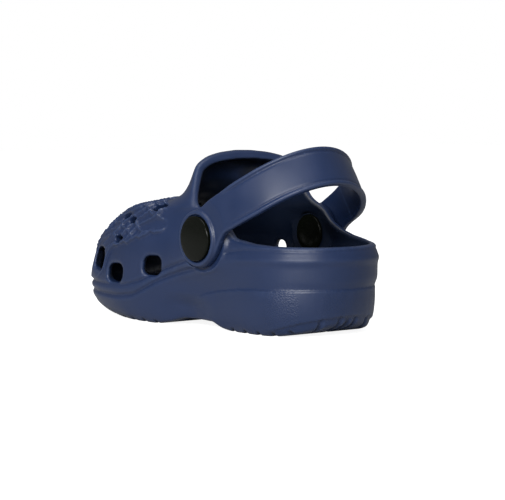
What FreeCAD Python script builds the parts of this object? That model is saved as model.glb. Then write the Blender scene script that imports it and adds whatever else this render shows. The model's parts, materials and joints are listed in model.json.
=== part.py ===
import FreeCAD, Part
import math
import os

# A child's garden clog for the right foot, with its heel strap raised.
# Millimetres.  +X points to the toe, +Y to the inner side of the foot, +Z up.
# The origin is the centre of the footprint, on the ground.

# Overall sizes
clog_length = 183.0        # heel back to toe tip
ball_half_width = 40.25    # half of the widest part of the sole
upper_height = 84.5        # ground to the crown of the instep collar
sole_height = 21.5         # ground to the ledge between sole and upper

# Foam thicknesses
side_wall = 4.2
roof_wall = 3.6
footbed_thickness = 13.0
sole_ledge = 0.8           # how far the sole stands out past the upper
edge_inset = 4.0           # how far the tread's rim is drawn in

# Heel and ankle opening
rim_height = 41.5          # top of the heel cup
rim_front = 30.0           # heel back to where the rim starts to rise
collar_rear = 84.0         # heel back to the rear of the collar's crown
crown_lean = 5.0           # how far the crown stands over to the outer side

# Sole profile
toe_spring = 8.0           # how far the toe tip clears the ground
arch_lift = 4.0            # how far the waist between heel and ball is raised
heel_bevel = 7.5           # how high the tread curves up at the heel back
tread_depth = 2.0
groove_width = 3.0
groove_pitch = 9.0

# Strap and rivets
pivot_from_heel = 64.0
pivot_height = 43.4
pad_radius = 13.5          # round end of the strap
boss_margin = 1.0          # how far the flat seat under the pad reaches past it
boss_thickness = 4.2
boss_recess = 0.25         # how far the seat is let into the wall
strap_thickness = 3.4
strap_reach = 63.5         # pivot axis to the middle of the strap's back
strap_end_width = 15.6
strap_mid_width = 20.0
strap_angle = 33.0         # the strap's rise above the horizontal
strap_lean = 2.5           # how far the soft band's back stands over to the inner side
stud_radius = 3.0
running_gap = 0.08         # radial, strap hole round the stud
seat_gap = 0.05            # radial, stud in the foam wall
side_gap = 0.25            # strap pad to boss, and strap pad to rivet head
head_radius = 10.6
head_thickness = 2.6
head_dome = 1.0
cap_radius = 9.0
cap_thickness = 2.2
socket_depth = 1.4

# Vents
vent_width = 11.5
vent_height = 10.0
vent_corner = 3.5
vent_depth = 24.0          # length of the cut, centred on the wall
top_vent_radius = 3.0

X_MID = clog_length / 2.0
boss_radius = pad_radius + boss_margin
V = FreeCAD.Vector
Y_AXIS = V(0, 1, 0)

# Half of the sole's plan: share of the length, share of the half width
INNER_SIDE = [(0.0, 0.0), (0.013, 0.30), (0.041, 0.51), (0.09, 0.68), (0.16, 0.765),
              (0.25, 0.78), (0.34, 0.79), (0.43, 0.84), (0.52, 0.915), (0.60, 0.975),
              (0.68, 1.0), (0.775, 0.96), (0.865, 0.82), (0.935, 0.59), (0.983, 0.30)]
OUTER_SIDE = [(1.0, 0.0), (0.989, -0.28), (0.945, -0.55), (0.87, -0.77), (0.776, -0.93),
              (0.683, -0.995), (0.585, -0.98), (0.49, -0.93), (0.41, -0.87), (0.33, -0.82),
              (0.25, -0.785), (0.16, -0.76), (0.09, -0.685), (0.041, -0.52), (0.013, -0.30)]

# The upper's levels: share of the upper's height above the ledge, rear inset,
# share of the length at the front, share of the half width, share of the side bulge
UPPER_LEVELS = [(-0.055, 0.6, 0.997, 0.985, 0.0), (0.07, 0.8, 0.992, 0.98, 0.4),
                (0.18, 1.0, 0.973, 0.965, 0.9), (0.29, 1.5, 0.934, 0.93, 1.0),
                (0.40, 2.5, 0.89, 0.88, 1.0), (0.51, 4.0, 0.81, 0.82, 1.0),
                (0.59, 5.0, 0.69, 0.77, 0.8), (0.655, 6.0, 0.605, 0.755, 0.5),
                (0.765, 8.0, 0.558, 0.745, 0.2), (0.875, 10.0, 0.538, 0.70, 0.0),
                (0.95, 12.0, 0.525, 0.55, 0.0), (1.0, 14.0, 0.51, 0.32, 0.0)]
LEAN_FROM = 0.55           # share of the upper's height where the crown starts to lean
SIDE_BULGE = 0.16          # share of the half width that the ankle swells by
BULGE_AT = 0.36
BULGE_SPREAD = 0.12

# Rim of the ankle opening: share of the rise from heel rim to crown, then share of the run
# from rim_front to collar_rear, first on the outer side and then on the inner side
RIM = ((0.012, -0.24, 0.05), (0.06, 0.0, 0.315), (0.172, 0.24, 0.574), (0.356, 0.528, 0.87),
       (0.517, 0.657, 0.935), (0.667, 0.76, 0.972), (0.816, 0.852, 1.0), (1.1, 1.0, 1.07))
RIM_SPREAD = 1.5           # the cut's half width against the half width that RIM is given at
RIM_HALF_WIDTH = 0.72      # share of the ball's half width

# Side vents: share of the length, share of the half width, height, turn towards the toe
INNER_VENTS = ((0.56, 0.93, 28.3, 0.0), (0.71, 0.97, 22.7, 0.0), (0.84, 0.82, 28.0, 38.0))
OUTER_VENTS = ((0.52, 0.91, 32.5, 0.0), (0.67, 0.97, 24.5, 0.0), (0.81, 0.85, 27.0, 32.0))
# Roof vents: share of the length, share of the half width
ROOF_VENTS = ((0.62, 0.0), (0.62, 0.5), (0.62, -0.5), (0.70, 0.27), (0.70, -0.27),
              (0.77, 0.56), (0.77, -0.56), (0.79, 0.0))


def from_heel(distance):
    return distance - X_MID


def level_height(share):
    return sole_height + share * (upper_height - sole_height)


def swelling(along, bulge):
    return SIDE_BULGE * bulge * math.exp(-((along - BULGE_AT) / BULGE_SPREAD) ** 2)


def between(rows, key):
    """The row of a table at a value of its first column, straight lines between rows."""
    for low, high in zip(rows, rows[1:]):
        if low[0] <= key <= high[0]:
            part = (key - low[0]) / (high[0] - low[0])
            return [a + part * (b - a) for a, b in zip(low, high)]
    return list(rows[-1])


def wall_half_width(distance, height):
    """Centre plane to the outside of the upper at one place."""
    share = (height - sole_height) / (upper_height - sole_height)
    _, rear, front, width, bulge = between(UPPER_LEVELS, share)
    along = (distance - rear - sole_ledge) / (front * clog_length - 2 * sole_ledge - rear)
    return (between(INNER_SIDE, along)[1] + swelling(along, bulge)) * width * ball_half_width


def crown_shift(share):
    """How far an upper level is moved to the outer side."""
    return -crown_lean * max(0.0, (share - LEAN_FROM) / (1.0 - LEAN_FROM))


def plan_wire(z, rear, front, half_width, bulge, shift=0.0):
    """Closed outline of the clog at one height."""
    points = []
    for along, across in INNER_SIDE + OUTER_SIDE:
        across += math.copysign(swelling(along, bulge), across) if across else 0.0
        x = from_heel(rear + along * (front - rear))
        points.append(V(x, across * half_width + shift, z))
    curve = Part.BSplineCurve()
    curve.interpolate(Points=points, PeriodicFlag=True)
    return Part.Wire([curve.toShape()])


def loft(wires):
    return Part.makeLoft(wires, True, False)


def side_prism(points, closing, half_span):
    """Prism whose one edge is a smooth curve and whose others are straight."""
    curve = Part.BSplineCurve()
    curve.interpolate([V(from_heel(x), -half_span, z) for x, z in points])
    corners = [V(from_heel(x), -half_span, z) for x, z in [points[-1]] + closing + [points[0]]]
    edges = [curve.toShape()] + Part.makePolygon(corners).Edges
    return Part.Face(Part.Wire(edges)).extrude(V(0, 2 * half_span, 0))


def cylinder_y(radius, start, end, x, z):
    return Part.makeCylinder(radius, end - start, V(x, start, z), Y_AXIS)


def make_outer():
    sole = loft([plan_wire(z, inset, clog_length - inset, ball_half_width - inset, 0.0)
                 for z, inset in ((0.0, edge_inset), (0.2 * sole_height, 0.25 * edge_inset),
                                  (0.6 * sole_height, 0.0), (sole_height, 0.0))])
    upper = loft([plan_wire(level_height(share), rear + sole_ledge, front * clog_length - sole_ledge,
                            width * ball_half_width, bulge, crown_shift(share))
                  for share, rear, front, width, bulge in UPPER_LEVELS])
    return sole.fuse(upper)


def make_cavity():
    """The room for the foot, which follows the upper one wall inside it."""
    wires = []
    for share, rear, front, width, bulge in UPPER_LEVELS[1:-1]:
        height = max(level_height(share) - roof_wall * share, footbed_thickness)
        half_width = width * ball_half_width - side_wall / abs(INNER_SIDE[5][1])
        wires.append(plan_wire(height, rear + side_wall, front * clog_length - side_wall,
                               half_width, bulge, crown_shift(share)))
    _, rear, front, width, _ = UPPER_LEVELS[0]
    floor = plan_wire(footbed_thickness, rear + 2 * side_wall, front * clog_length - 2 * side_wall,
                      width * ball_half_width - 2 * side_wall, 0.0)
    return loft([floor] + wires)


def rim_wire(side):
    """Outline of the opening at one end of its cut; side is 1 at the inner end."""
    rise, run = upper_height - rim_height, collar_rear - rim_front
    y = side * RIM_SPREAD * RIM_HALF_WIDTH * ball_half_width
    points = [V(from_heel(-side_wall), y, rim_height)]
    for up, outer, inner in RIM:
        along = (outer + inner) / 2.0 + side * RIM_SPREAD * (inner - outer) / 2.0
        points.append(V(from_heel(rim_front + along * run), y, rim_height + up * rise))
    curve = Part.BSplineCurve()
    curve.interpolate(points)
    corner = V(points[0].x, y, points[-1].z)
    edges = [curve.toShape(), Part.makeLine(points[-1], corner), Part.makeLine(corner, points[0])]
    return Part.Wire(edges)


def make_opening():
    """Everything above the heel rim and behind the instep collar, apart from the strap's seats."""
    x, z = pivot()
    outer, _ = seats()
    opening = Part.makeLoft([rim_wire(-1), rim_wire(1)], True, True)
    return opening.cut(cylinder_y(boss_radius, -outer, outer, x, z))


def make_ground_cut():
    """Everything below the curved underside: heel bevel, arch and toe spring."""
    profile = [(-side_wall, 1.5 * heel_bevel), (0.016 * clog_length, 0.7 * heel_bevel),
               (0.044 * clog_length, 0.35 * heel_bevel), (0.08 * clog_length, 0.1 * heel_bevel),
               (0.125 * clog_length, 0.0), (0.29 * clog_length, 0.0),
               (0.355 * clog_length, 0.9 * arch_lift), (0.47 * clog_length, 0.9 * arch_lift),
               (0.58 * clog_length, 0.0), (0.72 * clog_length, 0.0),
               (0.86 * clog_length, 0.28 * toe_spring),
               (clog_length + side_wall, toe_spring + side_wall / 2.0)]
    below = -2 * side_wall
    return side_prism(profile, [(clog_length + side_wall, below), (-side_wall, below)],
                      2 * ball_half_width)


def make_grooves():
    """Cross grooves in the tread, one run at the heel and one at the ball."""
    raised = make_ground_cut()
    raised.translate(V(0, 0, tread_depth))
    grooves = []
    for start, end in ((0.07, 0.29), (0.58, 0.92)):
        count = int((end - start) * clog_length / groove_pitch)
        for index in range(count):
            corner = V(from_heel(start * clog_length + index * groove_pitch),
                       -2 * ball_half_width, -side_wall)
            bar = Part.makeBox(groove_width, 4 * ball_half_width, sole_height, corner)
            grooves.append(bar.common(raised))
    return grooves


def make_vents():
    """Rounded square vents down each side, and round ones in the roof."""
    vents = []
    for side, places in ((1, INNER_VENTS), (-1, OUTER_VENTS)):
        for along, across, height, turn in places:
            block = Part.makeBox(vent_width, vent_depth, vent_height,
                                 V(-vent_width / 2.0, -vent_depth / 2.0, -vent_height / 2.0))
            corners = [edge for edge in block.Edges if edge.BoundBox.YLength > vent_depth / 2.0]
            block = block.makeFillet(vent_corner, corners)
            block.rotate(V(0, 0, 0), V(0, 0, 1), -side * turn)
            block.translate(V(from_heel(along * clog_length), side * across * ball_half_width, height))
            vents.append(block)
    for along, across in ROOF_VENTS:
        base = V(from_heel(along * clog_length), across * ball_half_width, sole_height + vent_height)
        vents.append(Part.makeCylinder(top_vent_radius, upper_height, base))
    return vents


def pivot():
    return from_heel(pivot_from_heel), pivot_height


def seats():
    """Flat faces at the pivot: the one under the strap, and the one under the inner cap."""
    outer = wall_half_width(pivot_from_heel, pivot_height) - boss_recess
    return outer, outer - boss_thickness


def add_bosses(body, x, z):
    outer, inner = seats()
    for start in (inner, -outer):
        body = body.fuse(cylinder_y(boss_radius, start, start + boss_thickness, x, z))
    return body


def make_clog_body():
    x, z = pivot()
    outer, inner = seats()
    beyond = 2 * ball_half_width
    body = add_bosses(make_outer(), x, z).cut(make_cavity())
    body = add_bosses(body, x, z)
    cuts = [make_opening(), make_ground_cut()] + make_grooves() + make_vents()
    cuts.append(cylinder_y(stud_radius + seat_gap, -beyond, beyond, x, z))
    cuts.append(cylinder_y(boss_radius + boss_margin, outer, beyond, x, z))
    cuts.append(cylinder_y(boss_radius + boss_margin, -beyond, -outer, x, z))
    cuts.append(cylinder_y(cap_radius + boss_margin, -inner, inner, x, z))
    for cutter in cuts:
        body = body.cut(cutter)
    return keep_largest(body)


def keep_largest(shape):
    return max(shape.Solids, key=lambda solid: solid.Volume).removeSplitter()


def strap_side(offset):
    """One face of the band: straight past the boss, then half an ellipse round the back."""
    half = seats()[0] + side_gap + strap_thickness / 2.0
    reach = strap_reach - boss_radius
    steps = 16
    points = []
    for index in range(steps + 1):
        sine, cosine = math.sin(math.pi * index / steps), math.cos(math.pi * index / steps)
        middle = V(-boss_radius - reach * sine, half * cosine + strap_lean * sine ** 2, 0)
        normal = V(-half * sine + 2 * strap_lean * sine * cosine, reach * cosine, 0)
        normal.normalize()
        points.append(middle + normal * offset)
    curve = Part.BSplineCurve()
    curve.interpolate(points)
    start, end = V(0, points[0].y, 0), V(0, points[-1].y, 0)
    edges = [Part.makeLine(start, points[0]), curve.toShape(), Part.makeLine(points[-1], end)]
    return edges, start, end


def make_strap():
    outer, outer_start, outer_end = strap_side(strap_thickness / 2.0)
    inner, inner_start, inner_end = strap_side(-strap_thickness / 2.0)
    ends = [Part.makeLine(outer_end, inner_end), Part.makeLine(inner_start, outer_start)]
    face = Part.Face(Part.Wire(Part.__sortEdges__(outer + inner + ends)))
    band = face.extrude(V(0, 0, strap_mid_width))
    band.translate(V(0, 0, -strap_mid_width / 2.0))
    reach = strap_reach + strap_thickness
    profile = [(0, strap_end_width / 2.0), (-0.15 * reach, strap_end_width / 2.0),
               (-0.65 * reach, strap_mid_width / 2.0), (-1.1 * reach, strap_mid_width / 2.0)]
    corners = [V(a, -reach, h) for a, h in profile] + [V(a, -reach, -h) for a, h in reversed(profile)]
    limit = Part.Face(Part.makePolygon(corners + corners[:1])).extrude(V(0, 2 * reach, 0))
    strap = band.common(limit)
    inside = seats()[0] + side_gap
    for start in (inside, -inside - strap_thickness):
        strap = strap.fuse(cylinder_y(pad_radius, start, start + strap_thickness, 0, 0))
    strap = strap.cut(cylinder_y(stud_radius + running_gap, -reach, reach, 0, 0))
    strap = keep_largest(strap)
    strap.rotate(V(0, 0, 0), Y_AXIS, strap_angle)
    x, z = pivot()
    strap.translate(V(x, 0, z))
    return strap


def turned(profile, side):
    """Solid of revolution about the pivot; profile is (radius, distance out)."""
    x, z = pivot()
    corners = [V(x + radius, side * out, z) for radius, out in profile]
    face = Part.Face(Part.makePolygon(corners + corners[:1]))
    return face.revolve(V(x, 0, z), Y_AXIS, 360.0)


def make_rivet_head(side):
    outer, inner = seats()
    seat = outer + 2 * side_gap + strap_thickness
    tip = inner - socket_depth
    edge = seat + head_thickness - head_dome
    return turned([(0, tip), (stud_radius, tip), (stud_radius, seat), (head_radius, seat),
                   (head_radius, edge), (0.85 * head_radius, edge + 0.7 * head_dome),
                   (0.5 * head_radius, edge + head_dome), (0, edge + head_dome)], side)


def make_rivet_cap(side):
    _, inner = seats()
    face = inner - cap_thickness
    return turned([(0, face), (0.8 * cap_radius, face), (cap_radius, face + cap_thickness / 2.0),
                   (cap_radius, inner), (stud_radius, inner),
                   (stud_radius, inner - socket_depth), (0, inner - socket_depth)], side)


def main():
    os.makedirs("parts", exist_ok=True)
    nodes = {"clog_body": make_clog_body(), "heel_strap": make_strap()}
    for name, side in (("inner", 1), ("outer", -1)):
        nodes["rivet_head_" + name] = make_rivet_head(side)
        nodes["rivet_cap_" + name] = make_rivet_cap(side)
    for name, shape in nodes.items():
        shape.exportStep("parts/" + name + ".step")
        box = shape.BoundBox
        print(name, len(shape.Solids), round(shape.Volume, 1), shape.isValid(),
              [round(value, 2) for value in (box.XMin, box.XMax, box.YMin, box.YMax, box.ZMin, box.ZMax)])


main()
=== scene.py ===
import json
import math
import bmesh
import bpy
import numpy as np
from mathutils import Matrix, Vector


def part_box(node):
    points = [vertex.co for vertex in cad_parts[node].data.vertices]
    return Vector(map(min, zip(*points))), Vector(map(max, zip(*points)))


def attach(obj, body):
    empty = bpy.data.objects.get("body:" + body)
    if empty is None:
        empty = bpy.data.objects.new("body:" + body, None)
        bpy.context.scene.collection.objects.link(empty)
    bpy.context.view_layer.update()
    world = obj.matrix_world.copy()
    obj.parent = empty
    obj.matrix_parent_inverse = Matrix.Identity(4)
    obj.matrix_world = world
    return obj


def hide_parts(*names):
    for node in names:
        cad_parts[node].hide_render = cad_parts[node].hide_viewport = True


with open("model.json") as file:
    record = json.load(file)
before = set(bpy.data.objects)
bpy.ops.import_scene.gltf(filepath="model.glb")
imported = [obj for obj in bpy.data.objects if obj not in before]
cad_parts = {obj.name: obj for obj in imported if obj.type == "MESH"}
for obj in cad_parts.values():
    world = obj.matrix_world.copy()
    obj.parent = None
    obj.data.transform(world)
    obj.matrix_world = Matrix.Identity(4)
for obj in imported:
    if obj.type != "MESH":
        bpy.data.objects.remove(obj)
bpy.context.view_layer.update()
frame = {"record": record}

import openvdb
from mathutils import Matrix, Vector

# Lengths are millimetres until a mesh is made. x runs from heel to toe, y to the inner side, z up.
mm = 0.001
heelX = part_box("clog_body")[0].x / mm
pivotJoint = frame["record"]["behaviour"]["joints"][0]
pivotX, pivotZ = pivotJoint["pos_m"][0] / mm, pivotJoint["pos_m"][2] / mm


# Curves, and rounded unions and cuts of distance fields
def smoothCurve(points):
    xs, ys = (np.array(column, float) for column in zip(*points))
    gaps, slopes = np.diff(xs), np.diff(ys) / np.diff(xs)
    tangents = np.empty_like(xs)
    tangents[0], tangents[-1] = slopes[0], slopes[-1]
    product = slopes[:-1] * slopes[1:]
    weightA, weightB = 2 * gaps[1:] + gaps[:-1], gaps[1:] + 2 * gaps[:-1]
    with np.errstate(divide="ignore", invalid="ignore"):
        harmonic = (weightA + weightB) / (weightA / slopes[:-1] + weightB / slopes[1:])
    tangents[1:-1] = np.where(product > 0, harmonic, 0.0)

    def value(at):
        at = np.clip(at, xs[0], xs[-1])
        index = np.clip(np.searchsorted(xs, at) - 1, 0, len(xs) - 2)
        t = (at - xs[index]) / gaps[index]
        return (ys[index] * (1 + 2 * t) * (1 - t) ** 2 + gaps[index] * tangents[index] * t * (1 - t) ** 2
                + ys[index + 1] * t * t * (3 - 2 * t) + gaps[index] * tangents[index + 1] * t * t * (t - 1))
    return value


def loopSpline(points, count):
    p = np.array(points, float)
    n = len(p)
    chords = np.linalg.norm(np.roll(p, -1, axis=0) - p, axis=1)
    system, right = np.zeros((n, n)), np.zeros((n, 2))
    for i in range(n):
        before, after = chords[i - 1], chords[i]
        system[i, i - 1], system[i, i], system[i, (i + 1) % n] = before, 2 * (before + after), after
        right[i] = 6 * ((p[(i + 1) % n] - p[i]) / after - (p[i] - p[i - 1]) / before)
    bends = np.linalg.solve(system, right)
    ends = np.concatenate([[0], np.cumsum(chords)])
    at = np.linspace(0, ends[-1], count, endpoint=False)
    i = np.clip(np.searchsorted(ends, at, side="right") - 1, 0, n - 1)
    j, h = (i + 1) % n, chords[i][:, None]
    a, b = (ends[i + 1] - at)[:, None], (at - ends[i])[:, None]
    return (bends[i] * a ** 3 + bends[j] * b ** 3) / (6 * h) + (p[i] / h - bends[i] * h / 6) * a \
        + (p[j] / h - bends[j] * h / 6) * b


def ramp(value, low, high):
    t = np.clip((value - low) / (high - low), 0, 1)
    return t * t * (3 - 2 * t)


def bump(value, width):
    return np.exp(-(value / width) ** 2)


def union(a, b, radius=0.0):
    if np.all(radius <= 0):
        return np.minimum(a, b)
    blend = np.hypot(np.maximum(radius - a, 0), np.maximum(radius - b, 0))
    return np.maximum(np.minimum(a, b), radius) - blend


def both(a, b, radius=0.0):
    return -union(-a, -b, radius)


def without(a, b, radius=0.0):
    return both(a, -b, radius)


def cylinderY(x, y, z, radius, low, high):
    return both(np.hypot(x - pivotX, z - pivotZ) - radius, np.maximum(low - y, y - high), 0.4)


def polygonDistance(px, pz, points):
    best = np.full(np.broadcast(px, pz).shape, 1e9)
    inside = np.zeros(best.shape, bool)
    for (ax, az), (bx, bz) in zip(points, np.roll(points, -1, axis=0)):
        dx, dz = bx - ax, bz - az
        t = np.clip(((px - ax) * dx + (pz - az) * dz) / (dx * dx + dz * dz), 0, 1)
        best = np.minimum(best, (px - ax - t * dx) ** 2 + (pz - az - t * dz) ** 2)
        if az != bz:
            inside ^= ((az > pz) != (bz > pz)) & (px < ax + (pz - az) * dx / dz)
    return np.sqrt(best) * np.where(inside, -1, 1)


def meshFromField(name, field, origin, voxel, triangles):
    grid = openvdb.FloatGrid(background=3.0)
    grid.copyFromArray(np.ascontiguousarray(field / voxel, dtype=np.float32), tolerance=0.0)
    points, quads = grid.convertToQuads(0.0)
    mesh = bpy.data.meshes.new(name)
    mesh.from_pydata((points * voxel + origin) * mm, [], quads)
    piece = bpy.data.objects.new(name, mesh)
    bpy.context.collection.objects.link(piece)
    keepLargest(piece)
    thin = piece.modifiers.new("thin", "DECIMATE")
    thin.ratio = min(1.0, triangles / (2.0 * len(piece.data.polygons)))
    mesh.shade_smooth()
    piece.modifiers.new("evenNormals", "WEIGHTED_NORMAL")
    applied = bpy.data.meshes.new_from_object(piece.evaluated_get(bpy.context.evaluated_depsgraph_get()))
    piece.modifiers.clear()
    piece.data = applied
    applied.name = name
    print(name, len(quads), "quads before thinning,", len(applied.polygons), "faces after")
    return piece


def keepLargest(piece):
    count = len(piece.data.vertices)
    edges = np.empty(len(piece.data.edges) * 2, np.int64)
    piece.data.edges.foreach_get("vertices", edges)
    a, b = edges[0::2], edges[1::2]
    label = np.arange(count)
    while True:
        low = np.minimum(label[a], label[b])
        fresh = label.copy()
        np.minimum.at(fresh, a, low)
        np.minimum.at(fresh, b, low)
        fresh = fresh[fresh]
        if (fresh == label).all():
            break
        label = fresh
    keep = label == np.bincount(label).argmax()
    if keep.all():
        return
    loops = np.empty(len(piece.data.loops), np.int64)
    piece.data.loops.foreach_get("vertex_index", loops)
    faces = loops.reshape(-1, 4)
    faces = faces[keep[faces[:, 0]]]
    places = np.empty(count * 3)
    piece.data.vertices.foreach_get("co", places)
    number = np.cumsum(keep) - 1
    piece.data.clear_geometry()
    piece.data.from_pydata(places.reshape(-1, 3)[keep], [], number[faces])


# Clog body
clog = {
    "voxel": 0.6,              # mm, grid that the shape is worked out on
    "triangles": 190000,
    "ballHalfWidth": 40.25,
    "crownLean": 5.0,          # mm, how far the crown stands over to the outer side
    "cupLean": 1.8,            # mm, how far the heel cup bulges on the outer side
    "sideWall": 4.0,
    "rimWall": 3.6,
    "footbed": 13.5,
    "lipRadius": 1.7,
    "seatHalfWidth": 35.0,     # mm, flat that the strap turns on
    "capSeatHalfWidth": 30.8,
    "padRadius": 13.5,
    "capRadius": 9.0,
    "shaftHole": 3.2,
    "sweepRoom": 4.5,          # mm, how far past its pad the strap's outer arm is given room
    "shoulderHalfWidth": 33.0, # mm, where the crown's outer shoulder is shaved
    "ventRound": 1.6,
    "ventCorner": 3.9,
    "creaseDepth": 0.8,        # mm, moulded lines that run round the upper
    "panelRaise": 0.8,
    "ribHeight": 1.7,
    "treadDepth": 1.7,
    "lugPitch": 9.0,
    "nubPitch": 7.0,           # mm, low round nubs under the foot
    "nubHeight": 0.7,
}

# Plan of the sole: share of the length, share of the ball's half width
plan = [(0.0, 0.0), (0.013, 0.30), (0.041, 0.51), (0.09, 0.68), (0.16, 0.765),
        (0.25, 0.78), (0.34, 0.79), (0.43, 0.84), (0.52, 0.915), (0.60, 0.975),
        (0.68, 1.0), (0.775, 0.96), (0.865, 0.82), (0.935, 0.59), (0.983, 0.30),
        (1.0, 0.0), (0.989, -0.28), (0.945, -0.55), (0.87, -0.77), (0.776, -0.93),
        (0.683, -0.995), (0.585, -0.98), (0.49, -0.93), (0.41, -0.87), (0.33, -0.82),
        (0.25, -0.785), (0.16, -0.76), (0.09, -0.685), (0.041, -0.52), (0.013, -0.30)]

# Each level of the body: height, rear inset, front reach, half width share, ankle swell share
levels = [(-2.0, 7.0, 157.0, 0.84, 0.0), (0.0, 6.0, 161.0, 0.87, 0.0), (3.0, 3.4, 171.5, 0.935, 0.0),
          (7.0, 1.6, 179.5, 0.975, 0.0), (12.0, 0.6, 182.6, 0.995, 0.0), (17.0, 0.2, 183.0, 1.0, 0.0),
          (21.5, 0.1, 182.6, 0.994, 0.15), (26.0, -0.5, 181.0, 0.99, 0.4), (33.0, -0.6, 177.6, 0.98, 0.9),
          (40.0, -0.1, 172.0, 0.955, 1.0), (47.0, 1.8, 163.5, 0.88, 1.0), (54.0, 4.0, 148.5, 0.815, 1.0),
          (59.0, 5.5, 119.0, 0.77, 0.8), (63.0, 6.5, 108.0, 0.765, 0.5), (70.0, 8.5, 102.5, 0.765, 0.2),
          (76.0, 11.0, 100.5, 0.745, 0.0), (80.3, 13.0, 98.5, 0.62, 0.0), (82.6, 15.0, 95.0, 0.42, 0.0),
          (83.6, 20.0, 90.0, 0.18, 0.0)]


def levelOutline(height, count):
    columns = list(zip(*levels))
    rear, front, width, swell = (float(smoothCurve(list(zip(columns[0], column)))(height))
                                 for column in columns[1:])
    lean = -clog["crownLean"] * max(0.0, (height - 57.0) / 27.0)
    cupLean = -clog["cupLean"] * float(ramp(height, 20.0, 27.0) * ramp(50.0 - height, 0.0, 8.0))
    points = []
    for along, across in plan:
        shift = lean + cupLean * float(ramp(0.36 - along, 0.0, 0.22) * ramp(-across, -0.3, 0.3))
        across += np.sign(across) * 0.16 * swell * math.exp(-((along - 0.36) / 0.12) ** 2)
        points.append((heelX + rear + along * (front - rear),
                       across * width * clog["ballHalfWidth"] + shift))
    return loopSpline(points, count)


def outerDistance(shape, origin, voxel):
    count = 240
    heights = np.concatenate([np.arange(-2.0, 80.0, 1.0), np.arange(80.0, 83.61, 0.2)])
    rings = [np.c_[levelOutline(height, count), np.full(count, height)] for height in heights]
    points = np.concatenate(rings + [[rings[0].mean(0)], [rings[-1].mean(0)]])
    here = np.arange(count)
    after = np.roll(here, -1)
    quads = np.concatenate([np.c_[here, after, after + count, here + count] + row * count
                            for row in range(len(rings) - 1)])
    last = (len(rings) - 1) * count
    caps = np.concatenate([np.c_[after, here, np.full(count, len(points) - 2)],
                           np.c_[here + last, after + last, np.full(count, len(points) - 1)]])
    inVoxels = ((points - origin) / voxel).astype(np.float32)
    grid = openvdb.FloatGrid.createLevelSetFromPolygons(
        inVoxels, triangles=caps.astype(np.uint32), quads=quads.astype(np.uint32), halfWidth=14)
    distance = np.empty(shape, np.float32)
    grid.copyToArray(distance)
    return distance * voxel


beyond = 60.0                  # mm, across, well outside the body


def clogField(origin, shape, voxel):
    x, y, z = (origin[axis] + voxel * np.arange(shape[axis], dtype=np.float32) for axis in range(3))
    x, y, z = x[:, None, None], y[None, :, None], z[None, None, :]
    along = x - heelX
    outer = outerDistance(shape, origin, voxel)
    print("outer distance ready", float(outer.min()), float(outer.max()))

    body = outer - sideRelief(along, z) - panelRelief(along, y, z)
    body = body + archRecess(along, z) + heelLugs(along, y, z)
    seat = cylinderY(x, y, z, clog["padRadius"] + 1.0, -clog["seatHalfWidth"], clog["seatHalfWidth"])
    body = union(body, seat, 3.0)
    body = without(body, footCavity(outer, along, y, z), 0.8)
    body = union(body, both(seat, clog["capSeatHalfWidth"] - np.abs(y)), 1.0)
    padRoom = cylinderY(x, np.abs(y), z, clog["padRadius"] + 2.0, clog["seatHalfWidth"], beyond)
    capRoom = cylinderY(x, np.abs(y), z, clog["capRadius"] + 1.0, 10.0, clog["capSeatHalfWidth"])
    body = without(without(body, padRoom, 0.4), capRoom, 0.4)
    # The strap's outer arm swings past the wall beside its pad and past the crown's shoulder
    sweep = cylinderY(x, -y, z, clog["padRadius"] + clog["sweepRoom"], clog["seatHalfWidth"], beyond)
    body = without(body, both(sweep, 36.0 - z, 2.0), 0.4)
    shoulder = y + clog["shoulderHalfWidth"] - 0.33 * (z - 69.0)
    body = without(body, both(shoulder, 60.0 - z, 4.0), 2.0)
    lobe = np.hypot(x - pivotX, z - pivotZ) - clog["padRadius"]
    body = without(body, without(ankleOpening(along, y, z), lobe, 7.0), clog["lipRadius"])
    body = both(body, -groundShape(along, y, z), 1.2)
    for vent in sideVents(along, y, z):
        body = without(body, vent, clog["ventRound"])
    for vent in roofVents(along, y, z):
        body = without(body, vent, 1.0)
    return without(body, cylinderY(x, np.abs(y), z, clog["shaftHole"], 10.0, beyond))


def sideRelief(along, z):
    upperLine = smoothCurve([(0, 39.6), (35, 39.0), (55, 36.5), (79, 31.3), (99, 25), (112, 20),
                             (124, 17.6), (145, 17.0), (183, 17.1)])
    lowerLine = smoothCurve([(0, 35.0), (36, 34.4), (72, 28.6), (86, 25.2), (98, 21.2), (106, 17.6),
                             (116, 13.6), (130, 12.2), (183, 13.4)])
    stepLine = smoothCurve([(0, 21.8), (29, 21.3), (54, 19.3), (63, 17.6), (78, 14.0), (183, 14.0)])
    high, low, step = z - upperLine(along), z - lowerLine(along), z - stepLine(along)
    depth = clog["creaseDepth"]
    forward = ramp(along, 38.0, 70.0)
    middle = forward * ramp(181.0 - along, 0.0, 14.0)
    relief = -depth * (0.55 + 0.45 * forward) * bump(high, 0.6 + 0.3 * forward)
    relief = relief - depth * middle * bump(low, 1.0)
    relief = relief + 0.35 * middle * ramp(low, -0.2, 1.4) * ramp(-high, -0.2, 1.4)
    relief = relief + (1 - forward) * 0.75 * bump(high + 4.2, 2.0) + 0.3 * middle * bump(low + 2.4, 1.8)
    rear = ramp(84.0 - along, 0.0, 24.0)
    relief = relief + rear * 0.6 * ramp(-step, -0.3, 0.3)
    return relief


def archRecess(along, z):
    return 3.0 * bump(along - 80.0, 12.0) * ramp(17.5 - z, 0.0, 8.0)


def heelGaps(along, y):
    pitch = clog["lugPitch"]
    return ramp(1.3 - np.abs((y / pitch) % 1.0 - 0.5) * pitch, 0.0, 0.8) * ramp(13.0 - along, 0.0, 3.0)


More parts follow.
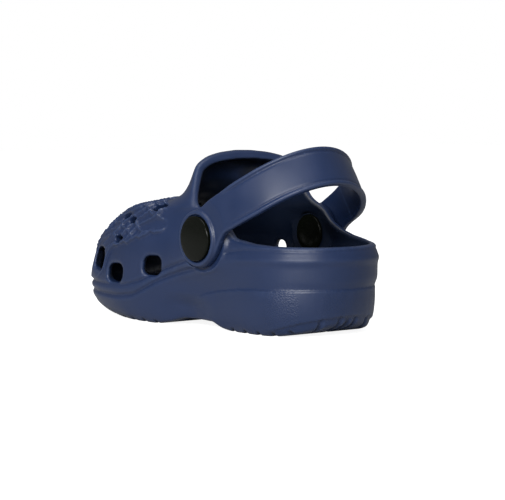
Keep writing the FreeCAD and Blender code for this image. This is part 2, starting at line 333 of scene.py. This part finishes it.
def heelLugs(along, y, z):
    # The heel's tread wraps up its back as a bevel, cut into lugs
    top = 10.5 - 0.3 * along
    return ramp(top - z, 0.0, 1.2) * ramp(30.0 - along, 0.0, 12.0) * (0.9 + 0.8 * heelGaps(along, y))


def panelEdge(along):
    edge = smoothCurve([(84, 49.5), (93, 45.8), (102, 43.8), (108, 42.2), (115, 40), (124, 37.6), (131, 36.2),
                        (135.5, 33.5), (138.5, 29), (141, 24), (150, 18.6), (183, 17.4)])
    uneven = 0.5 * np.sin(along * 0.62) + 0.25 * np.sin(along * 1.35)
    return edge(along) + uneven * ramp(134.0 - along, 0.0, 8.0)


def panelRelief(along, y, z):
    rise = z - panelEdge(along)
    start = along - 93.0 - 23.5 * np.maximum(1.0 - (y / 33.0) ** 2, 0.0)
    climb = 0.8 * z - np.sqrt(y * y + 90.0)
    wander = 2.4 * np.sin(0.16 * along + 0.10 * climb) + 1.4 * np.sin(0.31 * climb - 0.12 * along)
    wander = wander + 2.5 * np.sin(0.17 * y)
    steep = bump(np.sin(0.42 * (climb + 0.62 * along + wander)), 0.32)
    shallow = bump(np.sin(0.33 * (climb - 0.30 * along - 1.3 * wander) + 1.0), 0.3)
    ledge = clog["panelRaise"] * ramp(rise, -0.5, 0.9) * ramp(start, 0.0, 8.0)
    ledge = ledge + 0.7 * bump(rise - 1.1, 0.9) * ramp(start, 0.0, 4.0) * ramp(148.0 - along, 0.0, 8.0)
    ribs = clog["ribHeight"] * (np.maximum(steep, 0.8 * shallow) - 0.25)
    return ledge + ribs * ramp(rise, 1.2, 3.0) * ramp(start, 1.0, 6.0) * ramp(z, 30.0, 37.0)


def footbedNubs(along, y):
    pitch = clog["nubPitch"]
    row = np.floor(along / pitch)
    ahead = (along / pitch - row - 0.5) * pitch
    aside = ((y / pitch + 0.5 * (row % 2)) % 1.0 - 0.5) * pitch
    return clog["nubHeight"] * ramp(1.7 - np.hypot(ahead, aside), 0.0, 1.1)


def footCavity(outer, along, y, z):
    wall = clog["rimWall"] + (clog["sideWall"] - clog["rimWall"]) * ramp(40.0 - z, 0.0, 12.0)
    wall = wall + 0.8 * ramp(z, 55.0, 75.0)
    bowl = clog["footbed"] + 0.0035 * y * y + 1.2 * ramp(along, 60.0, 75.0) * ramp(120.0 - along, 0.0, 30.0)
    return both(outer + wall, bowl + footbedNubs(along, y) - z, 6.0)


def ankleOpening(along, y, z):
    # The rim runs lower and further forward on the inner side than on the outer one
    halfOffset = smoothCurve([(41, 8.0), (49, 9.0), (57, 9.2), (64, 7.5), (70.5, 5.8), (77, 4.0), (82, 3.0),
                              (90, 2.0)])
    rim = [(-8, 41.4), (4, 41.4), (16, 41.6), (26, 42.2), (38.5, 44.2), (45, 46.2), (52, 49.0), (60, 52.8),
           (67.7, 57.5), (73, 64.0), (76.7, 70.5), (80, 77.0), (82.5, 82.0), (85.0, 90.0), (87.0, 100.0),
           (-8, 100.0)]
    return polygonDistance(along - (y / 29.0) * halfOffset(z), z, np.array(rim, float))


def groundShape(along, y, z):
    # Distance below the underside: heel bevel, waist, toe spring, cross grooves and the middle channel
    underside = smoothCurve([(-4, 12.0), (0, 8.2), (3, 6.0), (8, 3.6), (15, 1.5), (24, 0.2), (32, 0.0),
                             (50, 0.0), (57, 0.8), (65, 3.8), (84, 3.9), (94, 1.4), (104, 0.0), (133, 0.0),
                             (150, 1.5), (165, 4.5), (183, 9.0)])
    pitch = clog["lugPitch"]
    wave = along + 2.2 * np.cos(y * math.pi / 20.0)
    gap = np.abs((wave / pitch) % 1.0 - 0.5) * pitch
    heel = ramp(57.0 - along, 0.0, 4.0) * ramp(along, 13.0, 15.0)
    tread = ramp(1.5 - gap, 0.0, 0.9) * (heel + ramp(along, 99.0, 103.0))
    tread = np.maximum(tread, heelGaps(along, y))
    channel = ramp(1.6 - np.abs(y), 0.0, 0.8) * (ramp(50.0 - along, 0, 3) + ramp(along, 106.0, 109.0))
    return z - underside(along) - clog["treadDepth"] * np.maximum(tread, channel)


# Vents: mm from the heel, share of the half width, height, turn to the toe, half length, half height
sideVentPlaces = {1: [(102.0, 0.93, 28.2, -22, 6.0, 4.9), (130.5, 0.97, 22.9, -22, 5.8, 4.8),
                      (151.0, 0.80, 28.8, -20, 6.0, 5.6)],
                  -1: [(92.3, 0.90, 32.8, -5, 4.4, 5.4), (122.5, 0.97, 24.5, -20, 5.8, 5.0),
                       (147.0, 0.87, 27.0, -14, 5.6, 5.2)]}


def sideVents(along, y, z):
    for side, places in sideVentPlaces.items():
        for centre, across, height, turn, halfLength, halfHeight in places:
            angle = math.radians(turn)
            ahead, out = along - centre, y * side - across * clog["ballHalfWidth"]
            outward = ahead * math.sin(angle) + out * math.cos(angle)
            flat = ahead * math.cos(angle) - out * math.sin(angle) + 0.14 * (z - height)
            corner = clog["ventCorner"]
            reach = np.hypot(np.maximum(np.abs(flat) - halfLength + corner, 0),
                             np.maximum(np.abs(z - height) - halfHeight + corner, 0)) - corner
            yield both(reach - 0.12 * np.maximum(outward, -2.0), np.abs(outward) - 12.0)


# Roof vents: mm from the heel, across, height, tilt from upright, half length, half width.
# The first list is mirrored to both sides.
roofVentPlaces = [(104, 30.5, 56, 50, 5.8, 2.5), (131, 30, 49, 50, 5.4, 2.3),
                  (121.5, 33.5, 48.5, 60, 3.5, 1.9), (127, 18, 57, 25, 3.4, 2.8),
                  (144, 15, 50, 25, 3.2, 2.8), (154, 24, 40, 50, 3.0, 2.6)]
singleRoofVents = [(118, 0, 60, 0, 3.4, 3.0), (136, 0, 55, 0, 3.4, 3.0), (155, 0, 46, 0, 3.0, 2.8),
                   (128.5, 36.5, 39.5, 72, 3.4, 2.2), (141.5, -33.5, 37.5, -70, 3.2, 2.2)]


def roofVents(along, y, z):
    rows = [(s, side * across, height, side * tilt, a, b) for s, across, height, tilt, a, b in roofVentPlaces
            for side in (1, -1)]
    for centre, across, height, tilt, a, b in rows + singleRoofVents:
        turn = math.radians(tilt)
        sideways = (y - across) * math.cos(turn) - (z - height) * math.sin(turn)
        through = (y - across) * math.sin(turn) + (z - height) * math.cos(turn)
        yield both((np.hypot((along - centre) / a, sideways / b) - 1.0) * b, np.abs(through) - 9.0)


def makeClog():
    low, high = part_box("clog_body")
    voxel = clog["voxel"] * 1.0
    origin = np.array(low) / mm - 2.4
    shape = tuple(int(size) for size in np.ceil((np.array(high) / mm + 2.4 - origin) / voxel) + 1)
    field = clogField(origin, shape, voxel)
    return meshFromField("clogShell", field, origin, voxel, clog["triangles"])


# Grip pads on the heel wall: mm from the heel, across, height, and half the size along each of them
gripPads = [(17.0, 29.0, 12.0, 8.0, 8.0, 10.0), (1.0, 9.0, 13.0, 6.0, 6.0, 10.0),
            (5.0, -22.0, 13.0, 7.0, 8.0, 10.0), (26.0, -31.0, 12.0, 8.0, 8.0, 10.0)]


def vertexValues(piece, what):
    values = np.empty(len(piece.data.vertices) * 3, np.float32)
    if what == "normal":
        piece.data.vertex_normals.foreach_get("vector", values)
    else:
        piece.data.vertices.foreach_get("co", values)
    return values.reshape(-1, 3).T


def addMask(piece, name, mask):
    piece.data.attributes.new(name, "FLOAT", "POINT").data.foreach_set("value", mask.astype(np.float32))


def markClog(piece):
    x, y, z = vertexValues(piece, "co") / mm
    normal = vertexValues(piece, "normal")
    pads = np.zeros(len(x))
    for s, across, height, a, b, c in gripPads:
        reach = (((x - heelX - s) / a) ** 4 + ((y - across) / b) ** 4 + ((z - height) / c) ** 4) ** 0.25
        pads = np.maximum(pads, ramp(1.15 - reach, 0.0, 0.25))
    addMask(piece, "gripPad", pads)
    # The inside is the walls that face the middle, the footbed and the underside of the roof; this mask
    # carries painted shade that darkens the cavity where shade falls
    awayX, awayY = x - np.clip(x, -62.0, 52.0), y
    facing = -(normal[0] * awayX + normal[1] * awayY) / (np.hypot(awayX, awayY) + 1.0)
    walls = ramp(facing, 0.15, 0.5) * ramp(z, 11.0, 13.0)
    footbed = ramp(normal[2], 0.4, 0.7) * ramp(26.0 - z, 0.0, 4.0) * ramp(z, 11.0, 13.0)
    footbed = footbed * ramp(33.0 - np.abs(y), 0.0, 3.0)
    roof = ramp(-normal[2], 0.2, 0.5) * ramp(z, 20.0, 26.0) * ramp(facing, -0.4, -0.15)
    addMask(piece, "inside", np.maximum(np.maximum(walls, 0.55 * footbed), roof))


clogShell = makeClog()
markClog(clogShell)
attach(clogShell, "clog")
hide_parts("clog_body")
print("clog body made")


# Heel strap, worked out lying flat behind the pivot and then turned up to its rest angle
strap = {
    "voxel": 0.42,
    "triangles": 90000,
    "reach": 63.0,             # mm, pivot to the middle of the back
    "straight": 14.5,
    "lean": 4.0,               # mm, how far the soft back stands over to the inner side
    "inside": 35.25,           # mm, centre plane to the pad's inner face
    "thickness": 3.4,
    "midWidth": 20.0,
    "topRise": 1.2,            # mm, how far the upper edge rises to meet the pad
    "neckIn": 3.0,             # mm, how far the lower edge draws in beside the pad
    "raised": 33.0,            # degrees above the horizontal
    "beadWidth": 2.0,
    "webThickness": 2.7,
    "padRadius": 13.5,
    "pivotHole": 3.08,
    "flare": 8.0,              # mm, radius where the band runs into its pad
    "ringHeight": 1.3,         # mm, lip that stands up round the rivet head
    "ringInside": 11.2,
}


def strapPath():
    half = strap["inside"] + strap["thickness"] / 2
    turn = np.linspace(0, math.pi, 150)
    back = strap["reach"] - strap["straight"]
    lean = strap["lean"] * np.sin(turn) ** 2 * (1.0 - 0.6 * np.cos(turn))
    curve = np.c_[-strap["straight"] - back * np.sin(turn), half * np.cos(turn) + lean]
    return np.concatenate([[(2 * strap["padRadius"], half)], curve, [(2 * strap["padRadius"], -half)]])


def strapField(origin, shape, voxel):
    x, y, z = (origin[axis] + voxel * np.arange(shape[axis], dtype=np.float32) for axis in range(3))
    x, y, z = x[:, None, None], y[None, :, None], z[None, None, :]
    flatX, flatY = x[:, :, 0] + 0 * y[:, :, 0], y[:, :, 0] + 0 * x[:, :, 0]
    best, offset = np.full(flatX.shape, 1e9), np.zeros(flatX.shape)
    line = strapPath()
    for (ax, ay), (bx, by) in zip(line[:-1], line[1:]):
        dx, dy = bx - ax, by - ay
        t = np.clip(((flatX - ax) * dx + (flatY - ay) * dy) / (dx * dx + dy * dy), 0, 1)
        gapX, gapY = flatX - ax - t * dx, flatY - ay - t * dy
        apart = np.hypot(gapX, gapY)
        offset = np.where(apart < best, np.sign(gapY * dx - gapX * dy) * -apart, offset)
        best = np.minimum(apart, best)
    offset = offset[:, :, None]
    half = strap["midWidth"] / 2
    above = half + strap["topRise"] * ramp(x, -42.0, -8.0)
    below = half - strap["neckIn"] * ramp(x, -42.0, -10.0)
    radius = np.hypot(x, z)
    flare = 2.0 + (strap["flare"] - 2.0) * ramp(-z, -3.0, 3.0)
    face = union(np.maximum(np.maximum(z - above, -z - below), x), radius - strap["padRadius"], flare)
    bead = ramp(strap["beadWidth"] + face, 0.0, 0.7) * ramp(-x, 22.0, 34.0)
    skin, web = strap["thickness"] / 2, strap["webThickness"] - strap["thickness"] / 2
    crown = 0.3 * (1 - np.minimum((2 * z / strap["midWidth"]) ** 2, 1.0)) * (1 - bead)
    groove = 0.35 * bump(face + strap["beadWidth"] + 0.4, 0.5) * ramp(-x, 22.0, 34.0)
    outside = web + (skin - web) * np.maximum(bead, ramp(x, -26.0, -16.0)) + crown - groove
    ring = strap["ringHeight"] * ramp(radius, strap["ringInside"] - 0.5, strap["ringInside"] + 0.3) \
        * ramp(strap["padRadius"] + 0.2 - radius, 0.0, 1.2)
    outside = np.minimum(outside, skin) + ring
    field = both(face, np.maximum(offset - outside, -offset - skin), 1.0)
    recess = both(radius - strap["ringInside"] + 0.1, strap["inside"] + strap["thickness"] - np.abs(y))
    field = without(field, recess, 0.3)
    return without(field, radius - strap["pivotHole"])


def makeStrap():
    voxel = strap["voxel"] * 1.0
    origin = np.array([-strap["reach"] - 5.0, -43.0, -16.0])
    shape = tuple(int(size) for size in np.ceil(np.array([strap["reach"] + 22.0, 86.0, 32.0]) / voxel) + 1)
    piece = meshFromField("strapBand", strapField(origin, shape, voxel), origin, voxel, strap["triangles"])
    swing = Matrix.Rotation(math.radians(strap["raised"]), 4, "Y")
    piece.data.transform(Matrix.Translation((pivotX * mm, 0, pivotZ * mm)) @ swing)
    return piece


strapBand = makeStrap()
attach(strapBand, "strap")
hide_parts("heel_strap")
print("heel strap made")


# Push-in rivets, turned from a profile of (radius, distance from the centre plane)
rivet = {
    "segments": 128,
    "headRadius": 10.6,
    "seat": 38.9,
    "face": 41.0,              # mm, rim of the head's face
    "crown": 0.42,             # mm, how far the middle stands past the rim
    "edgeRound": 0.75,
    "shaft": 3.0,
    "shaftEnd": 29.4,
    "capRadius": 9.0,
    "capSeat": 30.8,
    "capFace": 28.7,
}


def corner(centreR, centreY, radius, start, end, steps=7):
    angles = np.radians(np.linspace(start, end, steps))
    return [(centreR + radius * math.cos(a), centreY + radius * math.sin(a)) for a in angles]


def turnedPiece(name, profile, side):
    mesh = bpy.data.meshes.new(name)
    build = bmesh.new()
    count = rivet["segments"]
    rings = []
    for radius, out in profile:
        if radius < 1e-6:
            rings.append([build.verts.new((pivotX * mm, side * out * mm, pivotZ * mm))])
            continue
        ring = []
        for step in range(count):
            angle = 2 * math.pi * step / count
            ring.append(build.verts.new(((pivotX + radius * math.cos(angle)) * mm, side * out * mm,
                                         (pivotZ + radius * math.sin(angle)) * mm)))
        rings.append(ring)
    for first, second in zip(rings, rings[1:]):
        for step in range(count):
            after = (step + 1) % count
            if len(first) == 1:
                build.faces.new((first[0], second[step], second[after]))
            elif len(second) == 1:
                build.faces.new((first[step], second[0], first[after]))
            else:
                build.faces.new((first[step], second[step], second[after], first[after]))
    bmesh.ops.recalc_face_normals(build, faces=build.faces)
    build.to_mesh(mesh)
    build.free()
    mesh.shade_smooth()
    piece = bpy.data.objects.new(name, mesh)
    bpy.context.collection.objects.link(piece)
    return piece


def headProfile():
    r, edge, face = rivet["headRadius"], rivet["edgeRound"], rivet["face"]
    dome = [(r * share, face + rivet["crown"] * (1 - share * share))
            for share in (0.0, 0.15, 0.3, 0.45, 0.6, 0.72, 0.82)]
    rim = corner(r - edge, face - edge, edge, 90, 0)
    under = corner(r - 0.3, rivet["seat"] + 0.3, 0.3, 0, -90, 4)
    shaft = [(rivet["shaft"] + 0.3, rivet["seat"]), (rivet["shaft"], rivet["seat"] - 0.3),
             (rivet["shaft"], rivet["shaftEnd"] + 0.3), (rivet["shaft"] - 0.3, rivet["shaftEnd"]),
             (0.0, rivet["shaftEnd"])]
    return dome + rim + under + shaft


def capProfile():
    r, seat, face = rivet["capRadius"], rivet["capSeat"], rivet["capFace"]
    dome = [(r * share, face + 0.5 * share ** 3) for share in (0.0, 0.2, 0.4, 0.55, 0.7, 0.82)]
    rim = [(a, 2 * (face + 1.25) - b) for a, b in corner(r - 0.75, face + 1.25, 0.75, 90, 0)]
    foot = corner(r - 0.25, seat - 0.25, 0.25, 0, 90, 4)
    socket = [(rivet["shaft"] + 0.2, seat), (rivet["shaft"], seat - 0.2),
              (rivet["shaft"], rivet["shaftEnd"]), (0.0, rivet["shaftEnd"])]
    return dome + rim + foot + socket


rivets = []
for sideName, side in (("inner", 1), ("outer", -1)):
    for part, profile in (("head", headProfile()), ("cap", capProfile())):
        piece = turnedPiece("rivet" + part.capitalize() + sideName.capitalize(), profile, side)
        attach(piece, "clog")
        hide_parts(f"rivet_{part}_{sideName}")
        rivets.append(piece)
print("rivets made")


# Materials
def linear(hexColour):
    channels = [int(hexColour[i:i + 2], 16) / 255 for i in (1, 3, 5)]
    return tuple(c / 12.92 if c <= 0.04045 else ((c + 0.055) / 1.055) ** 2.4 for c in channels) + (1.0,)


def node(tree, kind, settings=None, links=None):
    made = tree.nodes.new(kind)
    for key, value in (settings or {}).items():
        if isinstance(key, str) and hasattr(made, key):
            setattr(made, key, value)
        else:
            made.inputs[key].default_value = value
    for key, source in (links or {}).items():
        tree.links.new(source, made.inputs[key])
    return made


foam = {
    "base": "#192849",
    "worn": "#2f3f60",
    "deep": "#142341",
    "inner": "#0c1526",         # painted shade of the inside, darker where the cavity lies in shade
    "roughness": 0.40,
    "specular": 0.4,
    "grainMm": 0.35,           # mm, fine pits left by the blasted mould
    "mottleMm": 14.0,          # mm, soft uneven gloss of released foam
    "scuffMm": 2.2,
    "stippleMm": 0.7,          # mm, coarser stipple on the heel's grip pads
}
plastic = {
    "base": "#070906",
    "worn": "#0c0e0a",
    "smoothest": 0.12,
    "roughest": 0.26,
    "specular": 0.1,
    "wearMm": 1.6,
    "rippleMm": 6.0,
}


def blank(name):
    material = bpy.data.materials.new(name)
    material.use_nodes = True
    tree = material.node_tree
    tree.nodes.clear()
    shader = node(tree, "ShaderNodeBsdfPrincipled")
    output = node(tree, "ShaderNodeOutputMaterial", links={"Surface": shader.outputs["BSDF"]})
    return material, tree, shader


def foamMaterial(name, withPads):
    # Moulded EVA foam with a thin closed skin: soft broad highlights, faint pitting, paler where edges rub
    material, tree, shader = blank(name)
    place = node(tree, "ShaderNodeTexCoord").outputs["Object"]
    mottle = node(tree, "ShaderNodeTexNoise",
                  {"Scale": 1 / (foam["mottleMm"] * mm), "Detail": 3.0}, {"Vector": place})
    grain = node(tree, "ShaderNodeTexNoise",
                 {"Scale": 1 / (foam["grainMm"] * mm), "Detail": 2.0}, {"Vector": place})
    scuff = node(tree, "ShaderNodeTexNoise",
                 {"Scale": 1 / (foam["scuffMm"] * mm), "Detail": 5.0, "Roughness": 0.65}, {"Vector": place})
    edges = node(tree, "ShaderNodeNewGeometry").outputs["Pointiness"]
    raised = node(tree, "ShaderNodeMapRange", {"From Min": 0.505, "From Max": 0.56}, {"Value": edges})
    rubbed = node(tree, "ShaderNodeMath", {"operation": "MULTIPLY"},
                  {0: raised.outputs[0], 1: scuff.outputs[0]})
    tint = node(tree, "ShaderNodeMix", {"data_type": "RGBA"}, {"Factor": mottle.outputs[0]})
    tint.inputs[6].default_value = linear(foam["deep"])
    tint.inputs[7].default_value = linear(foam["base"])
    colour = node(tree, "ShaderNodeMix", {"data_type": "RGBA"},
                  {"Factor": rubbed.outputs[0], 6: tint.outputs[2]})
    colour.inputs[7].default_value = linear(foam["worn"])
    # Painted shade: the inside mask blends the colour towards the dark inner tone in the cavity
    inner = node(tree, "ShaderNodeAttribute", {"attribute_name": "inside"})
    shade = node(tree, "ShaderNodeMix", {"data_type": "RGBA"},
                 {"Factor": inner.outputs["Fac"], 6: colour.outputs[2]})
    shade.inputs[7].default_value = linear(foam["inner"])
    tree.links.new(shade.outputs[2], shader.inputs["Base Color"])
    rough = node(tree, "ShaderNodeMapRange",
                 {"From Min": 0.3, "From Max": 0.7,
                  "To Min": foam["roughness"] - 0.05, "To Max": foam["roughness"] + 0.09},
                 {"Value": mottle.outputs[0]})
    tree.links.new(rough.outputs[0], shader.inputs["Roughness"])
    normal = node(tree, "ShaderNodeBump", {"Strength": 0.35, "Distance": 0.03 * mm},
                  {"Height": grain.outputs[0]})
    if withPads:
        pad = node(tree, "ShaderNodeAttribute", {"attribute_name": "gripPad"})
        dots = node(tree, "ShaderNodeTexVoronoi", {"Scale": 1 / (foam["stippleMm"] * mm)}, {"Vector": place})
        raisedDots = node(tree, "ShaderNodeMath", {"operation": "MULTIPLY"},
                          {0: dots.outputs["Distance"], 1: pad.outputs["Fac"]})
        normal = node(tree, "ShaderNodeBump", {"Strength": 0.8, "Distance": 0.16 * mm},
                      {"Height": raisedDots.outputs[0], "Normal": normal.outputs[0]})
    tree.links.new(normal.outputs[0], shader.inputs["Normal"])
    shader.inputs["IOR"].default_value = 1.49
    shader.inputs["Specular IOR Level"].default_value = foam["specular"]
    return material


def plasticMaterial():
    # Moulded acetal with a polished face: deep near-black colour, sharp reflections, hairline scratches
    material, tree, shader = blank("glossyMouldedAcetal")
    place = node(tree, "ShaderNodeTexCoord").outputs["Object"]
    wear = node(tree, "ShaderNodeTexNoise",
                {"Scale": 1 / (plastic["wearMm"] * mm), "Detail": 6.0, "Roughness": 0.7}, {"Vector": place})
    rough = node(tree, "ShaderNodeMapRange",
                 {"From Min": 0.35, "From Max": 0.75,
                  "To Min": plastic["smoothest"], "To Max": plastic["roughest"]},
                 {"Value": wear.outputs[0]})
    tree.links.new(rough.outputs[0], shader.inputs["Roughness"])
    tint = node(tree, "ShaderNodeMix", {"data_type": "RGBA"}, {"Factor": wear.outputs[0]})
    tint.inputs[6].default_value = linear(plastic["base"])
    tint.inputs[7].default_value = linear(plastic["worn"])
    tree.links.new(tint.outputs[2], shader.inputs["Base Color"])
    ripple = node(tree, "ShaderNodeTexNoise",
                  {"Scale": 1 / (plastic["rippleMm"] * mm), "Detail": 1.0}, {"Vector": place})
    normal = node(tree, "ShaderNodeBump", {"Strength": 0.15, "Distance": 0.1 * mm},
                  {"Height": ripple.outputs[0]})
    tree.links.new(normal.outputs[0], shader.inputs["Normal"])
    shader.inputs["Specular IOR Level"].default_value = plastic["specular"]
    return material


clogShell.data.materials.append(foamMaterial("mouldedEvaFoam", True))
strapBand.data.materials.append(foamMaterial("mouldedEvaStrap", False))
acetal = plasticMaterial()
for piece in rivets:
    piece.data.materials.append(acetal)
print("materials made")


# Floor, light and camera
studio = {
    "floor": "#c4c4c4",
    "floorGlow": 0.9,            # lit from under for the camera, as a light table is
    "sky": 0.27,                  # what lights the clog; the camera sees plain white
    "aim": (-45.1, 19.9, 38.2),   # mm
    "fromRear": 39.0,             # degrees round from straight behind
    "elevation": 4.3,
    "distance": 900.0,            # mm
    "lens": 138.0,                # mm
}


def makeFloor():
    mesh = bpy.data.meshes.new("floor")
    size = 3.0
    corners = [(-size, -size, 0), (size, -size, 0), (size, size, 0), (-size, size, 0)]
    mesh.from_pydata(corners, [], [(0, 1, 2, 3)])
    floor = bpy.data.objects.new("floor", mesh)
    bpy.context.collection.objects.link(floor)
    material, tree, shader = blank("palePaper")
    shader.inputs["Base Color"].default_value = linear(studio["floor"])
    shader.inputs["Roughness"].default_value = 0.9
    shader.inputs["Specular IOR Level"].default_value = 0.0
    ray = node(tree, "ShaderNodeLightPath")
    glow = node(tree, "ShaderNodeMath", {"operation": "MULTIPLY", 1: studio["floorGlow"]},
                {0: ray.outputs["Is Camera Ray"]})
    shader.inputs["Emission Color"].default_value = (1, 1, 1, 1)
    tree.links.new(glow.outputs[0], shader.inputs["Emission Strength"])
    mesh.materials.append(material)


def makeWorld():
    world = bpy.data.worlds.new("studio")
    bpy.context.scene.world = world
    world.use_nodes = True
    tree = world.node_tree
    tree.nodes.clear()
    ray = node(tree, "ShaderNodeLightPath")
    room = node(tree, "ShaderNodeBackground", {"Color": (1, 1, 1, 1), "Strength": studio["sky"]})
    seen = node(tree, "ShaderNodeBackground", {"Color": (1, 1, 1, 1), "Strength": 1.0})
    mix = node(tree, "ShaderNodeMixShader",
               links={0: ray.outputs["Is Camera Ray"], 1: room.outputs[0], 2: seen.outputs[0]})
    node(tree, "ShaderNodeOutputWorld", links={"Surface": mix.outputs[0]})


def softBox(name, place, size, power):
    light = bpy.data.lights.new(name, "AREA")
    light.shape, light.size, light.size_y = "RECTANGLE", size[0], size[1]
    light.energy = power
    lamp = bpy.data.objects.new(name, light)
    bpy.context.collection.objects.link(lamp)
    lamp.location = place
    aim = Vector(studio["aim"]) * mm
    lamp.rotation_euler = (aim - Vector(place)).to_track_quat("-Z", "Y").to_euler()


def makeCamera():
    camera = bpy.data.objects.new("camera", bpy.data.cameras.new("camera"))
    bpy.context.collection.objects.link(camera)
    camera.data.lens = studio["lens"]
    camera.data.clip_start = 0.05
    around, up = math.radians(studio["fromRear"]), math.radians(studio["elevation"])
    back = Vector((-math.cos(around) * math.cos(up), math.sin(around) * math.cos(up), math.sin(up)))
    camera.location = Vector(studio["aim"]) * mm + back * studio["distance"] * mm
    camera.rotation_euler = back.to_track_quat("Z", "Y").to_euler()
    bpy.context.scene.camera = camera


makeFloor()
makeWorld()
softBox("keyLight", (-0.62, 0.95, 0.48), (1.1, 0.3), 19.0)
softBox("topLight", (-0.1, 0.2, 1.2), (0.9, 0.7), 7.0)
makeCamera()
bpy.context.scene.view_settings.view_transform = "Standard"
